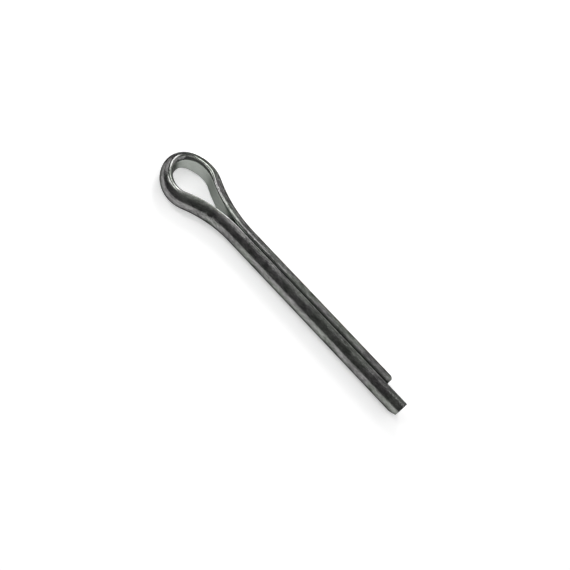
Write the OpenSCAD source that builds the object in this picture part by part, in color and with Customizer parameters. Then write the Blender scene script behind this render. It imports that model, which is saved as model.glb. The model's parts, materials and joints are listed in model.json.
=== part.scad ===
// Split pin (cotter pin): one length of half-round wire folded flat to flat.
// The fold stays open as an eye, two neck bends bring the wire together, and
// the two prongs lie against each other as one round shank.
// Millimetres. The fold lies in the XY plane, +X runs along the shank from the
// eye to the tips, and the origin is on the shank's axis where it becomes round.

/* [Wire] */
// Diameter of the round shank that the two prongs make together
shank_d = 5.6; // [4.4:0.1:7]
// Gap left between the two flat faces along the shank
prong_gap = 0.1; // [0.05:0.05:0.6]
// Rounding of the two long edges where the round back meets the flat face
edge_r = 0.45; // [0.2:0.05:0.7]

/* [Prongs] */
// Round length of the shank, from the neck to the end of the short prong
shank_len = 44.5; // [15:0.1:100]
// How far the long prong runs on past the short one
long_extra = 5.9; // [1:0.1:12]

/* [Eye] */
// Inner radius of the eye on the long prong's side
eye_long_r = 5.2; // [4.4:0.1:7]
// Inner radius of the tight crown at the back of the eye
eye_crown_r = 2.8; // [2:0.1:4]
// Inner radius of the eye on the short prong's side
eye_short_r = 6.9; // [5.5:0.1:9]
// Where the crown begins, in degrees from straight back towards the long prong
crown_long_deg = 18; // [8:1:30]
// Where the crown ends, in degrees from straight back towards the short prong
crown_short_deg = 56; // [42:1:66]
// Sideways shift of the crown's centre, towards the short prong
eye_shift = 0.55; // [0:0.05:1.2]

/* [Neck] */
// Angle at which the wire leaves the shank on the long prong's side
neck_long_deg = 26.5; // [20:0.5:34]
// Angle at which the wire leaves the shank on the short prong's side
neck_short_deg = 24; // [18:0.5:30]
// Straight stretch between neck bend and eye on the long prong's side
flank_long = 0.3; // [0.1:0.1:2]
// Straight stretch between neck bend and eye on the short prong's side
flank_short = 0.5; // [0.1:0.1:2]

/* [Tips] */
// Turn of the shear's direction up out of the plane of the fold, in degrees
shear_turn = 30; // [0:5:45]
// Length of the flat bevel that the shear leaves on the long prong's back
bevel_len = 1.6; // [0.6:0.1:4]
// Depth of that bevel at the long prong's end face
bevel_depth = 0.55; // [0.1:0.05:1.2]
// Length of the rolled-over corner on the short prong's back
roll_len = 0.9; // [0.4:0.05:0.95]
// Radius of that rolled-over corner
roll_r = 1.2; // [1.2:0.1:6]
// Slope at which the rolled-over corner begins, in degrees
roll_entry_deg = 4; // [2:1:12]

/* [Hidden] */
$fn = 96;
shank_r = shank_d / 2;
flat_y = prong_gap / 2;
// Straights and crown run on into the bends that they meet by lap_len, and
// those bends are fuller by lap_r all round, so that every joint is a true
// overlap and not two faces that only touch.
lap_len = 0.1;
lap_r = 0.01;
// How far a cutting shape reaches past the wire
cut = 2 * shank_d;

function unit(a) = [cos(a), sin(a)];

// The rounding of a long edge: its centre, where it meets the round back, and
// the turn from one facet to the next
edge_x = flat_y + edge_r;
edge_c = [edge_x, sqrt(pow(shank_r - edge_r, 2) - edge_x * edge_x)];
edge_deg = atan2(edge_c.y, edge_c.x);
edge_facets = 3;
edge_step = (180 - edge_deg) / (edge_facets + 1);

// Outward directions at the ends of the eye's three arcs
out_long = 270 + neck_long_deg;
out_crown_long = 180 + crown_long_deg;
out_crown_short = 180 - crown_short_deg;
out_short = 90 - neck_short_deg;

// Centres of the arcs, each tangent to the next, measured from x at the crown
crown_c = [0, eye_shift];
long_c = crown_c + (eye_crown_r - eye_long_r) * unit(out_crown_long);
short_c = crown_c + (eye_crown_r - eye_short_r) * unit(out_crown_short);

// Where the flanks leave the eye, and where they meet the neck bends
long_eye = long_c + eye_long_r * unit(out_long);
short_eye = short_c + eye_short_r * unit(out_short);
long_neck = long_eye + flank_long * unit(neck_long_deg);
short_neck = short_eye + flank_short * unit(-neck_short_deg);

// Each neck bend takes up all of the way that is left in to the shank
neck_long_r = (-flat_y - long_neck.y) / (1 - cos(neck_long_deg));
neck_short_r = (short_neck.y - flat_y) / (1 - cos(neck_short_deg));
long_start = long_neck.x + neck_long_r * sin(neck_long_deg);
short_start = short_neck.x + neck_short_r * sin(neck_short_deg);

// The shank is round from where the later of the two bends ends
shank_x = max(long_start, short_start);
short_tip = shank_x + shank_len;
long_tip = short_tip + long_extra;

// One long edge of the section. Its rounding is drawn with flat facets, each
// a tangent of the edge's circle, and the last one runs out through the back.
function long_edge(grow) = [
    for (k = [0 : edge_facets - 1])
        edge_c + (edge_r + grow) / cos(edge_step / 2) * unit(180 - (k + 0.5) * edge_step),
    edge_c + (edge_r + grow) * unit(edge_deg + edge_step) + cut * unit(edge_deg + edge_step - 90)
];

function mirrored(points) = [for (k = [len(points) - 1 : -1 : 0]) [points[k].x, -points[k].y]];

// Half-round section of the wire, fuller by grow all round. x is the distance
// from the shank's axis, and the flat face stands at flat_y.
module section(grow) {
    intersection() {
        circle(r = shank_r + grow);
        polygon(concat(long_edge(grow), mirrored(long_edge(grow))));
    }
}

// A straight run of wire. It starts at p with its round back facing the
// direction out, and runs off to the right of that direction.
module run(p, out, length) {
    translate([p.x, p.y, 0]) rotate([90, 0, out])
        linear_extrude(height = length) translate([-flat_y, 0]) section(0);
}

// An arc of the eye about c, with the flat face on the inside at radius r
module eye_arc(c, r, from, to, grow) {
    translate([c.x, c.y, 0]) rotate([0, 0, from])
        rotate_extrude(angle = to - from) translate([r - flat_y, 0]) section(grow);
}

// A neck bend about c, with the flat face on the outside at radius r
module neck_bend(c, r, from, to) {
    translate([c.x, c.y, 0]) rotate([0, 0, from])
        rotate_extrude(angle = to - from) translate([r + flat_y, 0]) mirror([1, 0]) section(lap_r);
}

// The open fold: a tight crown between two wider arcs
module eye() {
    lap_deg = lap_len / eye_crown_r * 180 / PI;
    eye_arc(long_c, eye_long_r, out_crown_long, out_long, lap_r);
    eye_arc(crown_c, eye_crown_r, out_crown_short - lap_deg, out_crown_long + lap_deg, 0);
    eye_arc(short_c, eye_short_r, out_short, out_crown_short, lap_r);
}

// The two flanks and the bends that bring the wire back to the shank
module neck() {
    run(long_neck + lap_len * unit(neck_long_deg), out_long, flank_long + 2 * lap_len);
    run(short_eye - lap_len * unit(-neck_short_deg), out_short, flank_short + 2 * lap_len);
    neck_bend([long_start, -flat_y - neck_long_r], neck_long_r, 90, 90 + neck_long_deg);
    neck_bend([short_start, flat_y + neck_short_r], neck_short_r, 270 - neck_short_deg, 270);
}

// Long prong, with the flat bevel that the shear leaves low on its back
module long_prong() {
    difference() {
        run([long_tip, -flat_y], 270, long_tip - long_start + lap_len);
        rotate([shear_turn, 0, 0]) translate([long_tip, bevel_depth - shank_r, 0])
            rotate([0, 0, atan(bevel_depth / bevel_len)])
            translate([-cut, -cut, -cut]) cube([2 * cut, cut, 2 * cut]);
    }
}

// Short prong, with its back corner rolled over on the side that the shear enters
module short_prong() {
    roll_x = short_tip - roll_len;
    roll_y = shank_r - roll_r * cos(roll_entry_deg);
    difference() {
        run([short_start - lap_len, flat_y], 90, short_tip - short_start + lap_len);
        rotate([shear_turn, 0, 0]) translate([roll_x, roll_y, -cut])
            linear_extrude(height = 2 * cut) difference() {
                square([cut, cut + roll_r]);
                translate([-roll_r * sin(roll_entry_deg), 0]) circle(r = roll_r);
            }
    }
}

module split_pin() {
    color([0.62, 0.63, 0.61]) translate([-shank_x, 0, 0]) {
        eye();
        neck();
        long_prong();
        short_prong();
    }
}

split_pin();
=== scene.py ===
# %% [markdown]
# # A split pin in Blender
#
# A split pin is one length of half-round wire, folded flat to flat. The fold
# stays open as an eye, and the two prongs lie together as one round shank.
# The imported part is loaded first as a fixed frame. Everything here is in
# metres and in its coordinates: +X runs from the eye to the tips, +Z is up.

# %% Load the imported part
import json
import math

import bpy
import numpy as np
from mathutils import Euler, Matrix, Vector, noise


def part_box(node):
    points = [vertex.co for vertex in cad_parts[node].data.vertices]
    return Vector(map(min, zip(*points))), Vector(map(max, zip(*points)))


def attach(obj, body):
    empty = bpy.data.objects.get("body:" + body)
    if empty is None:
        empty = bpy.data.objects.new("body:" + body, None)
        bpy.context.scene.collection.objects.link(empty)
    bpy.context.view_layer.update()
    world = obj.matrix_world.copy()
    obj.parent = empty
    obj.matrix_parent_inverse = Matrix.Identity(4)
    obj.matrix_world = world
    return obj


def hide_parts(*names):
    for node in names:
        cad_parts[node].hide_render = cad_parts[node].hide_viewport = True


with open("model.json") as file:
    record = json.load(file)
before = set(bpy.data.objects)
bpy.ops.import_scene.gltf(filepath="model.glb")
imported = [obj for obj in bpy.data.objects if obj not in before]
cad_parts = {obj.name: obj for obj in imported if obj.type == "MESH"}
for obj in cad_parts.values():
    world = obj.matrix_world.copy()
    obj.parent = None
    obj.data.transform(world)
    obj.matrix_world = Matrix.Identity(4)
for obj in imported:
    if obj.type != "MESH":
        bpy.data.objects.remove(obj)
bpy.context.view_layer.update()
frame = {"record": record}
pin_low, pin_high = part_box("split_pin")
print("part size in mm:", [round(1000 * side, 2) for side in pin_high - pin_low])

# %% [markdown]
# ## The section of the wire
#
# The wire is drawn with a round back and a flat face, and its two long edges
# are rounded. A circle cut in half would have knife edges, so the outline is
# built from arcs instead: the back, one small arc at each edge, and the flat.
# Each point keeps its normal, because later steps push points along it.

# %% Half-round outline
MM = 0.001
mounts = {mount["name"]: mount for mount in frame["record"]["mounts"]}
shank_r = mounts["shank"]["dims"]["r_mm"] * MM
prong_gap = 0.1 * MM
flat_at = prong_gap / 2
edge_straight = 0.45 * MM
BACK_POINTS, EDGE_POINTS, FLAT_POINTS = 61, 13, 13


def heading(degrees):
    """Unit vector in the plane, at this angle from the first axis."""
    return np.array([math.cos(math.radians(degrees)), math.sin(math.radians(degrees))])


def arc(centre, radius, start, end, steps):
    """Points and outward normals along an arc."""
    normals = np.array([heading(a) for a in np.linspace(start, end, steps)])
    return np.asarray(centre) + radius * normals, normals


def outline(edge_r):
    """Closed outline of the wire and its normals, with the flat face at zero."""
    edge_x = flat_at + edge_r
    edge_z = math.sqrt((shank_r - edge_r) ** 2 - edge_x**2)
    turn = math.degrees(math.atan2(edge_z, edge_x))
    back = arc((0, 0), shank_r, -turn, turn, BACK_POINTS)
    top_edge = arc((edge_x, edge_z), edge_r, turn, 180, EDGE_POINTS)
    low_edge = arc((edge_x, -edge_z), edge_r, 180, 360 - turn, EDGE_POINTS)
    flat_z = np.linspace(edge_z, -edge_z, FLAT_POINTS)[1:-1]
    flat = np.stack([np.full_like(flat_z, flat_at), flat_z], 1)
    flat_normals = np.tile(heading(180), (len(flat), 1))
    points = np.concatenate([back[0][:-1], top_edge[0], flat, low_edge[0][:-1]])
    normals = np.concatenate([back[1][:-1], top_edge[1], flat_normals, low_edge[1][:-1]])
    return points - [flat_at, 0], normals


print("points round the section:", len(outline(edge_straight)[0]))

# %% [markdown]
# ## The run of the wire
#
# The fold is a chain of arcs that meet smoothly: a tight crown at the back of
# the eye, a wider arc on each side of it, a short straight flank, and a long
# easy bend that brings the wire back in to the shank. The path follows the
# flat face, from the long prong's tip round the eye to the short prong's tip.

# %% Arcs of the fold
long_extra = 5.9 * MM
eye_long_r = 5.2 * MM
eye_crown_r = 2.8 * MM
eye_short_r = 6.9 * MM
eye_shift = 0.55 * MM
flank_long = 0.3 * MM
flank_short = 0.5 * MM
neck_long_deg = 26.5
neck_short_deg = 24
crown_long_deg = 18
crown_short_deg = 56
crown_from = 180 + crown_long_deg
crown_to = 180 - crown_short_deg
eye_from = 270 + neck_long_deg
eye_to = 90 - neck_short_deg

crown_c = np.array([0, eye_shift])
long_c = crown_c + (eye_crown_r - eye_long_r) * heading(crown_from)
short_c = crown_c + (eye_crown_r - eye_short_r) * heading(crown_to)
long_neck = long_c + eye_long_r * heading(eye_from) + flank_long * heading(neck_long_deg)
short_neck = short_c + eye_short_r * heading(eye_to) + flank_short * heading(-neck_short_deg)
neck_long_r = (-flat_at - long_neck[1]) / (1 - math.cos(math.radians(neck_long_deg)))
neck_short_r = (short_neck[1] - flat_at) / (1 - math.cos(math.radians(neck_short_deg)))
long_start = long_neck[0] + neck_long_r * math.sin(math.radians(neck_long_deg))
short_start = short_neck[0] + neck_short_r * math.sin(math.radians(neck_short_deg))
shank_x = max(long_start, short_start)
print(f"neck bends: {neck_long_r / MM:.1f} and {neck_short_r / MM:.1f} mm radius")

# %% Join the arcs into one path
FINE = 400
path_step = 0.05 * MM
long_tip_x = pin_high.x + shank_x
fold = [
    [(long_tip_x, -flat_at)],
    arc((long_start, -flat_at - neck_long_r), neck_long_r, 90, 90 + neck_long_deg, FINE)[0],
    arc(long_c, eye_long_r, eye_from, crown_from, FINE)[0],
    arc(crown_c, eye_crown_r, crown_from, crown_to, FINE)[0],
    arc(short_c, eye_short_r, crown_to, eye_to, FINE)[0],
    arc((short_start, flat_at + neck_short_r), neck_short_r, 270 - neck_short_deg, 270, FINE)[0],
    [(long_tip_x - long_extra, flat_at)],
]
corners = np.concatenate(fold) - [shank_x, 0]


def distances(points):
    """Distance from the first point to each point, along the line."""
    return np.concatenate([[0], np.cumsum(np.linalg.norm(np.diff(points, axis=0), axis=1))])


def read_along(points, values, places):
    """Values known at the points of a line, read at these distances along it."""
    known = distances(points)
    return np.stack([np.interp(places, known, column) for column in values.T], 1)


path = read_along(corners, corners, np.arange(0, distances(corners)[-1], path_step))
print(f"wire length: {distances(path)[-1] / MM:.1f} mm")

# %% [markdown]
# A real wire can't change its curvature at a point, and a highlight shows
# such a jump as a kink. So the path is averaged over about a millimetre. That
# alone would shrink the eye, so the loss is added back once.

# %% Ease the bends into each other
ease_reach = 0.6 * MM


def averaged(points):
    """A moving average with a bell-shaped weight. The ends are first carried on straight."""
    reach = int(3 * ease_reach / path_step)
    weight = np.exp(-0.5 * (np.arange(-reach, reach + 1) * path_step / ease_reach) ** 2)
    steps = np.arange(1, reach + 1)[:, None]
    before = points[0] - steps[::-1] * (points[1] - points[0])
    after = points[-1] + steps * (points[-1] - points[-2])
    padded = np.concatenate([before, points, after])
    return np.stack([np.convolve(axis, weight / weight.sum(), "valid") for axis in padded.T], 1)


once = averaged(path)
path = 2 * once - averaged(once)

# %% Places of the rings along the wire
ring_gap = 0.24 * MM
tip_gap = 0.06 * MM
tip_reach = 2.4 * MM
wire_length = distances(path)[-1]
near_tip = np.arange(0, tip_reach, tip_gap)
between_tips = np.arange(tip_reach, wire_length - tip_reach, ring_gap)
ring_at = np.concatenate([near_tip, between_tips, wire_length - near_tip[::-1]])
ring_point = read_along(path, path, ring_at)
tangent = read_along(path, np.gradient(path, axis=0), ring_at)
tangent /= np.linalg.norm(tangent, axis=1)[:, None]
outward = np.stack([-tangent[:, 1], tangent[:, 0]], 1)
print("rings along the wire:", len(ring_at))

# %% [markdown]
# The edges inside the eye are made much rounder than on the straight prongs.
# That rounding carries the bright line that runs round the eye. The edge
# radius of each ring grows with the bend of the path at that ring.

# %% Edge radius of each ring
edge_growth = 0.5 * MM
full_bend = 1 / (4 * MM)
most_bend = 1.4
smooth_reach = 6
smooth_weights = np.ones(2 * smooth_reach + 1) / (2 * smooth_reach + 1)
direction = np.unwrap(np.arctan2(tangent[:, 1], tangent[:, 0]))
bend = np.clip(-np.gradient(direction, ring_at) / full_bend, 0, most_bend)
bend = np.convolve(np.pad(bend, smooth_reach, "edge"), smooth_weights, "valid")
sections = [outline(edge_straight + edge_growth * share) for share in bend]
sweep = np.stack([points for points, normals in sections])
sweep_normals = np.stack([normals for points, normals in sections])
rings, around = sweep.shape[:2]
print(f"edge radius: {edge_straight / MM:.2f} to {(edge_straight + edge_growth * bend.max()) / MM:.2f} mm")

# %% [markdown]
# ## The sheared tips
#
# Shears cut the wire, in a direction that is turned a little out of the plane
# of the fold. They leave a flat bevel low on the long prong's back, roll the
# short prong's back corner over, and leave a fine round at every corner of
# the two cut faces.

# %% Shape the tips
shear_turn = 30
bevel_len, bevel_depth = 1.6 * MM, 0.55 * MM
roll_len, roll_r, roll_entry = 0.9 * MM, 1.2 * MM, math.radians(4)
corner_r = 0.08 * MM
from_long_tip = ring_at
from_short_tip = wire_length - ring_at


def cut_back(limit, degrees):
    """Moves what stands out past a limit, in this direction of the section, back on to it."""
    facing = heading(degrees)
    past = (sweep + [flat_at, 0]) @ facing - limit[:, None]
    sweep[...] -= np.clip(past, 0, None)[..., None] * facing


cut_back(shank_r - bevel_depth * np.clip(1 - from_long_tip / bevel_len, 0, None), -shear_turn)
roll_reach = roll_r * math.sin(roll_entry) + np.clip(roll_len - from_short_tip, 0, None)
cut_back(shank_r - roll_r * math.cos(roll_entry) + np.sqrt(roll_r**2 - roll_reach**2), shear_turn)
short_of = np.clip(corner_r - np.minimum(from_long_tip, from_short_tip), 0, None)
inset = corner_r - np.sqrt(corner_r**2 - short_of**2)
sweep -= sweep_normals * inset[:, None, None]

# %% [markdown]
# ## Small faults of a real wire
#
# Wire is coiled, straightened and folded before it is a pin, and each step
# leaves it a little uneven. Reflections show this long before the outline
# does: a hundredth of a millimetre makes a highlight waver. The neck of the
# long side gets a few shallow dents as well.

# %% Uneven skin
uneven = 0.006 * MM
dent_depth = 0.05 * MM
rub_at, rub_reach = 59.5 * MM, 3.5 * MM
straight = np.empty((rings, around, 3))
straight[..., 0] = ring_at[:, None]
straight[..., 1:] = sweep


def swell(point):
    """Height of the skin over its true form at one point of the straightened wire, in metres."""
    wave = noise.fractal(Vector(point / MM * (0.3, 0.45, 0.45)), 1.0, 2.0, 2)
    rub = max(0.0, 1 - abs(point[0] - rub_at) / rub_reach) * max(0.0, point[1] / shank_r)
    dent = max(0.0, noise.fractal(Vector(point / MM * 1.1) + Vector((7, 3, 5)), 0.8, 2.0, 3))
    return uneven * wave - dent_depth * rub * dent


skin = np.array([[swell(point) for point in ring] for ring in straight])
sweep += sweep_normals * skin[..., None]
print(f"skin height: {skin.min() / MM:.3f} to {skin.max() / MM:.3f} mm")

# %% [markdown]
# ## Skin of the wire
#
# The rings and the outline make one grid of quads. Each end is closed by
# smaller and smaller copies of its own outline, so that the cut face is a
# fine mesh too. A shear tears the last part of its cut, so the face is rough.

# %% Build the mesh
CAP_STEPS = 10
tear = 0.03 * MM


def placed(ring, section):
    """Points of a section on a ring, in the part's coordinates."""
    return np.column_stack([ring_point[ring] + section[:, :1] * outward[ring], section[:, 1]])


def cap(ring, away):
    """Shrinking copies of the last outline, with the torn face's hills and hollows."""
    centre = (sweep[ring].max(0) + sweep[ring].min(0)) / 2
    shares = np.linspace(1, 0, CAP_STEPS + 1)[1:-1]
    loops = [centre + (sweep[ring] - centre) * share for share in shares] + [centre[None]]
    points = placed(ring, np.concatenate(loops))
    for point in points:
        point[:2] += away * tangent[ring] * tear * noise.fractal(Vector(point / MM), 1.0, 2.0, 4)
    return points


body = np.concatenate([placed(ring, sweep[ring]) for ring in range(rings)])
caps = [cap(0, -1), cap(rings - 1, 1)]
vertices = np.concatenate([body] + caps)


def band(first, second):
    """Quads between two loops of vertex numbers."""
    return np.stack([first, np.roll(first, -1), np.roll(second, -1), second], 1)


loop = np.arange(around)
quads = [band(loop + ring * around, loop + (ring + 1) * around) for ring in range(rings - 1)]
fans = []
for which, ring in ((0, 0), (1, rings - 1)):
    first = len(body) + which * len(caps[0])
    loops = [loop + ring * around] + [loop + first + step * around for step in range(CAP_STEPS - 1)]
    middle = np.full(around, first + (CAP_STEPS - 1) * around)
    turned = slice(None, None, -1) if which == 0 else slice(None)
    quads += [band(outer, inner)[:, turned] for outer, inner in zip(loops, loops[1:])]
    fans += [np.stack([loops[-1], np.roll(loops[-1], -1), middle], 1)[:, turned]]

mesh = bpy.data.meshes.new("pin_wire")
mesh.from_pydata(vertices.tolist(), [], np.concatenate(quads).tolist() + np.concatenate(fans).tolist())
mesh.validate()
mesh.shade_smooth()
pin = bpy.data.objects.new("pin_wire", mesh)
bpy.context.scene.collection.objects.link(pin)
print("faces:", len(mesh.polygons))

# %% [markdown]
# The patterns of the finish run along the wire and follow it round the eye.
# So each vertex keeps its place on the straightened wire, in millimetres:
# along it, out from the flat face, and up. The torn faces are marked too.

# %% Keep the wire's own coordinates on the mesh
flat_part = []
for ring, points in zip((0, rings - 1), caps):
    depth = (points[:, :2] - ring_point[ring]) @ outward[ring]
    flat_part.append(np.column_stack([np.full(len(points), ring_at[ring]), depth, points[:, 2]]))
wire_place = np.concatenate([straight.reshape(-1, 3)] + flat_part) / MM
torn = np.concatenate([np.zeros(len(body)), np.ones(len(vertices) - len(body))])
for name, kind, field, values in (
    ("wire_place", "FLOAT_VECTOR", "vector", wire_place),
    ("torn", "FLOAT", "value", torn),
):
    data = mesh.attributes.new(name, kind, "POINT").data
    data.foreach_set(field, values.astype(np.float32).ravel())

# %% [markdown]
# ## Shader sums
#
# A material is a sum of patterns, so it reads best as sums. This small class
# wraps a socket: plain arithmetic on it adds Math nodes, and `node` makes any
# other node from its type, its settings and its inputs.

# %% Sums of sockets


class Pattern:
    """A socket of a material, which takes part in Python sums."""

    def __init__(self, tree, socket=None):
        self.tree = tree
        self.socket = socket

    def node(self, kind, settings=None, inputs=None, output=0):
        """Adds a node. Settings come first, because some of them change the sockets."""
        made = self.tree.nodes.new(kind)
        for name, value in (settings or {}).items():
            setattr(made, name, value)
        for name, value in (inputs or {}).items():
            if isinstance(value, Pattern):
                self.tree.links.new(value.socket, made.inputs[name])
            else:
                made.inputs[name].default_value = value
        return Pattern(self.tree, made.outputs[output])

    def output(self, number):
        """Another output of the same node."""
        return Pattern(self.tree, self.socket.node.outputs[number])

    def into(self, socket):
        """Links this pattern to an input."""
        self.tree.links.new(self.socket, socket)

    def sum(self, operation, first, second=0.0):
        return self.node("ShaderNodeMath", {"operation": operation}, {0: first, 1: second})

    def __add__(self, other):
        return self.sum("ADD", self, other)

    def __sub__(self, other):
        return self.sum("SUBTRACT", self, other)

    def __rsub__(self, other):
        return self.sum("SUBTRACT", other, self)

    def __mul__(self, other):
        return self.sum("MULTIPLY", self, other)

    def __abs__(self):
        return self.sum("ABSOLUTE", self)

    __radd__ = __add__
    __rmul__ = __mul__

    def between(self, low, high):
        """0 below low, 1 above high, and a smooth rise between them."""
        settings = {"interpolation_type": "SMOOTHSTEP"}
        inputs = {"Value": self, "From Min": low, "From Max": high}
        return self.node("ShaderNodeMapRange", settings, inputs)

    def mixed(self, first, second):
        """A colour between two, by this pattern."""
        settings = {"data_type": "RGBA"}
        return self.node("ShaderNodeMix", settings, {0: self, 6: first, 7: second}, 2)


def new_material(name):
    """An empty material with its Principled shader and a Pattern to start from."""
    material = bpy.data.materials.new(name)
    material.use_nodes = True
    tree = material.node_tree
    return material, tree.nodes["Principled BSDF"], Pattern(tree)


# %% [markdown]
# ## Zinc on drawn wire
#
# The metal is made as a grey zinc with a soft gloss: fine lines along the
# wire, a cloudy tone, a fine grain with flecks, and faint green and violet
# tints.

# %% Patterns on the wire
zinc, zinc_shader, start = new_material("zinc_plated_steel")
zinc_shader.inputs["Metallic"].default_value = 1.0
place = start.node("ShaderNodeAttribute", {"attribute_name": "wire_place"}, output=1)
along = place.node("ShaderNodeSeparateXYZ", {}, {0: place})
out = along.output(1)
up = along.output(2)
is_torn = start.node("ShaderNodeAttribute", {"attribute_name": "torn"}, output=2)


def noisy(scale, detail=3.0, roughness=0.55, turn=0.0):
    """A soft noise on the wire, about 0 to 1, scaled along, across and up."""
    inputs = {"Vector": place, "Scale": scale, "Rotation": (0, 0, turn)}
    scaled = start.node("ShaderNodeMapping", {}, inputs)
    inputs = {"Vector": scaled, "Scale": 1.0, "Detail": detail, "Roughness": roughness}
    return start.node("ShaderNodeTexNoise", {}, inputs)


cloud = noisy((0.35, 0.6, 0.6), 5.0, 0.6)
drawn = noisy((0.1, 7.0, 7.0), 3.0)
grain = noisy((0.9, 1.5, 1.5), 3.0, 0.7)
fleck = noisy((1.6, 2.8, 2.8), 1.0, 0.5)
hue = noisy((0.14, 0.3, 0.3), 2.0)

# %% [markdown]
# Over the plating lie rubbed places at the neck of the long side, where the
# dents are, and thin scratches. A scratch is a
# narrow level line of a stretched noise, broken up by a second one.

# %% Rubs and scratches
rub_near = 1 - abs(along - rub_at / MM).between(0.4 * rub_reach / MM, rub_reach / MM)
rub_side = 1 - abs(up - 0.9).between(0.4, 1.3)
rub_broken = noisy((0.9, 1.6, 1.6), 4.0, 0.7).between(0.45, 0.55)
rubbed = rub_near * rub_side * out.between(0.8, 1.6) * rub_broken


def scratches(scale, turn, width, amount):
    """Thin broken lines, turned a little from the wire's run."""
    level = noisy(scale, 1.0, 0.5, turn)
    line = 1 - abs(level - 0.5).between(0.3 * width, width)
    return line * noisy((0.5, 0.7, 0.7), 2.0, 0.5, turn + 1.0).between(amount, amount + 0.05)


scratch_width = 0.006
long_ones = scratches((0.12, 1.2, 1.2), 0.12, scratch_width, 0.55)
slanted_ones = scratches((0.2, 0.9, 0.9), -0.3, scratch_width, 0.6)
scratched = start.sum("MAXIMUM", long_ones, slanted_ones)

# %% [markdown]
# The flat face is given a lighter colour than the round back, most of all inside
# the eye, and the torn steel of the cut faces is dark. The lighter flat is a
# choice of look: a painted reflection of the bright floor, which the flat face
# mirrors inside the eye. The brighter flat is a choice of look, because the
# cause of its light tone isn't known.

# %% Colour
tone = 0.4 * cloud.between(0.42, 0.58) + 0.1 * drawn
tone = tone + 0.2 * grain.between(0.42, 0.58) + 0.3 * fleck.between(0.42, 0.58)
plating = tone.mixed((0.045, 0.048, 0.043, 1), (0.35, 0.355, 0.34, 1))
tint = hue.between(0.4, 0.6).mixed((0.238, 0.218, 0.238, 1), (0.212, 0.238, 0.204, 1))
colour = start.node("ShaderNodeMix", {"data_type": "RGBA"}, {0: 0.3, 6: plating, 7: tint}, 2)
eye_middle = (wire_length + long_extra) / 2 / MM
in_eye = 1 - abs(along - eye_middle).between(22, 28)
flat_near, flat_far = 0.02, 0.3
# Painted reflection: the flat face is lightened, most of all inside the eye.
flat_painted_reflection = (0.45 + 0.55 * in_eye) * (1 - out.between(flat_near, flat_far))
marks = start.sum("MAXIMUM", 0.5 * scratched, 0.45 * rubbed)
colour = marks.mixed(colour, (0.42, 0.42, 0.41, 1))
# Mixes in the lighter colour of the painted reflection on the flat face.
colour = (0.8 * flat_painted_reflection).mixed(colour, (0.5, 0.53, 0.495, 1))
tearing = noisy((2.0, 2.0, 2.0), 4.0, 0.7).between(0.3, 0.7)
steel = tearing.mixed((0.07, 0.07, 0.07, 1), (0.17, 0.165, 0.16, 1))
is_torn.mixed(colour, steel).into(zinc_shader.inputs["Base Color"])

# %% [markdown]
# A metal mirrors everything at a grazing angle, which would draw a white line
# round the pin. The specular tint sets that edge reflection low, so that the
# outline stays dark. This is a choice of look and not a property of zinc.

# %% Gloss and relief
zinc_shader.inputs["Specular Tint"].default_value = (0.1, 0.1, 0.1, 1)
lip = (1 - out.between(0.25, 0.75)) * abs(up).between(1.9, 2.3)
gloss = 0.15 + 0.09 * cloud + 0.06 * grain + 0.16 * rubbed - 0.03 * lip + 0.22 * is_torn
gloss.into(zinc_shader.inputs["Roughness"])

relief = 0.5 * drawn + 0.35 * grain + 0.5 * fleck - 0.5 * scratched - 0.4 * rubbed
bump = start.node(
    "ShaderNodeBump", {}, {"Height": relief, "Strength": 0.35, "Distance": 0.012 * MM}
)
bump.into(zinc_shader.inputs["Normal"])
mesh.materials.append(zinc)

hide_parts("split_pin")
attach(pin, "root")

# %% [markdown]
# ## Floor, light and camera
#
# The pin lies on a white floor, which glows a little where it is seen, straight
# or in the metal. So it comes out white and still keeps the pin's soft shadow.
# Further away the glow takes over from the lamps, and the floor runs on into a
# white room.

# %% White floor
floor_size = 3.0
bpy.ops.mesh.primitive_plane_add(size=floor_size, location=(0, 0, pin_low.z))
floor = bpy.context.object
floor.name = "floor"
paper, paper_shader, start_floor = new_material("white_paper")
paper_shader.inputs["Base Color"].default_value = (0.85, 0.85, 0.85, 1)
paper_shader.inputs["Roughness"].default_value = 0.9
rays = start_floor.node("ShaderNodeLightPath", output="Is Camera Ray")
seen = start_floor.sum("MAXIMUM", rays, rays.output("Is Glossy Ray"))
seen = start_floor.sum("MAXIMUM", seen, rays.output("Is Transmission Ray"))
spot = start_floor.node("ShaderNodeTexCoord", output="Object")
from_pin = start_floor.node("ShaderNodeVectorMath", {"operation": "LENGTH"}, {0: spot}, "Value")
glow = seen * (0.42 + 0.58 * from_pin.between(0.08, 0.3))
glow.mixed((0, 0, 0, 1), (1, 1, 1, 1)).into(paper_shader.inputs["Emission Color"])
paper_shader.inputs["Emission Strength"].default_value = 1.0
floor.data.materials.append(paper)

# %% [markdown]
# Polished wire shows what stands round it, so the room matters as much as the
# lamps. It is dim, which gives each prong a dark band, and white only to the
# camera. A wide window behind the shank lights the shank's top.

# %% Dim room
world = bpy.data.worlds.new("room")
bpy.context.scene.world = world
world.use_nodes = True
room = Pattern(world.node_tree)
look = room.node("ShaderNodeTexCoord", output="Generated")
upward = room.node("ShaderNodeSeparateXYZ", {}, {0: look}, 2)
room_light = 0.12 + 0.03 * upward.between(0.3, 0.9) + 0.2 * upward.between(0.85, 0.98)
background = world.node_tree.nodes["Background"]
camera_ray = room.node("ShaderNodeLightPath", output="Is Camera Ray")
room.sum("MAXIMUM", room_light, camera_ray).into(background.inputs["Strength"])
background.inputs["Color"].default_value = (1, 1, 1, 1)


# %% Soft boxes
eye = Vector((-13, 0, 0)) * MM


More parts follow.
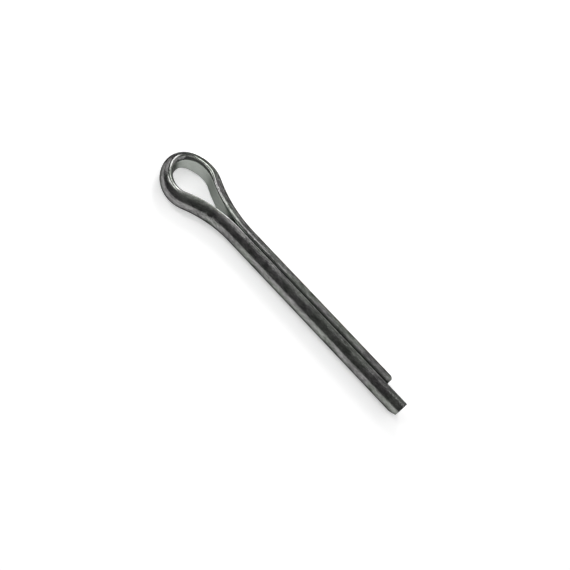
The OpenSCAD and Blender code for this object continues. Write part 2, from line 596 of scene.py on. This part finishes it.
def towards(azimuth, elevation):
    """Unit vector in this direction, in degrees round +Z and up from the floor."""
    side, rise = math.radians(azimuth), math.radians(elevation)
    return Vector((math.cos(side) * math.cos(rise), math.sin(side) * math.cos(rise), math.sin(rise)))


def softbox(name, azimuth, elevation, distance, width, height, brightness):
    """A flat lamp that faces the pin's eye. Brightness is how bright its face looks."""
    lamp = bpy.data.lights.new(name, "AREA")
    lamp.shape = "RECTANGLE"
    lamp.size, lamp.size_y = width, height
    lamp.energy = brightness * math.pi * width * height
    holder = bpy.data.objects.new(name, lamp)
    away = towards(azimuth, elevation)
    holder.location = eye + away * distance
    holder.rotation_euler = away.to_track_quat("Z", "Y").to_euler()
    holder.visible_camera = False
    bpy.context.scene.collection.objects.link(holder)
    return holder


window = softbox("window", 90, 34, 0.3, 0.36, 0.33, 0.55)
window_shift = 0.133
window.location.x += window_shift
softbox("end_fill", 0, 45, 0.9, 1.0, 1.0, 0.95)
softbox("strip", -90, 70, 0.8, 1.6, 0.06, 0.25)

# %% [markdown]
# The eye has lamps of its own. They stand close, so that their bright lines
# follow the wire round the eye and fade where the shank begins.

# %% Lamps for the eye
softbox("left_panel", 174, 20, 0.5, 0.26, 0.22, 1.5)
softbox("left_key", -160, 56, 0.3, 0.08, 0.14, 5.5)
softbox("above", -165, 79, 0.3, 0.05, 0.08, 1.0)
softbox("behind", 116, 38, 0.2, 0.065, 0.12, 6.5)
softbox("spark", -35, 63, 0.3, 0.03, 0.03, 9.0)

# %% Camera
camera_data = bpy.data.cameras.new("camera")
camera_data.lens = 56.03
camera_data.sensor_width = 36
camera_data.clip_start, camera_data.clip_end = 0.01, 10
camera = bpy.data.objects.new("camera", camera_data)
aim = Vector((13.54, -0.41, 0)) * MM
camera_far = 195.45 * MM
camera_roll = 30.286
back_to_camera = towards(-71.556, 61.113)
camera.location = aim + back_to_camera * camera_far
level = back_to_camera.to_track_quat("Z", "Y")
camera.rotation_mode = "QUATERNION"
camera.rotation_quaternion = level @ Euler((0, 0, math.radians(camera_roll))).to_quaternion()
bpy.context.scene.collection.objects.link(camera)
bpy.context.scene.camera = camera
bpy.context.scene.view_settings.view_transform = "Standard"
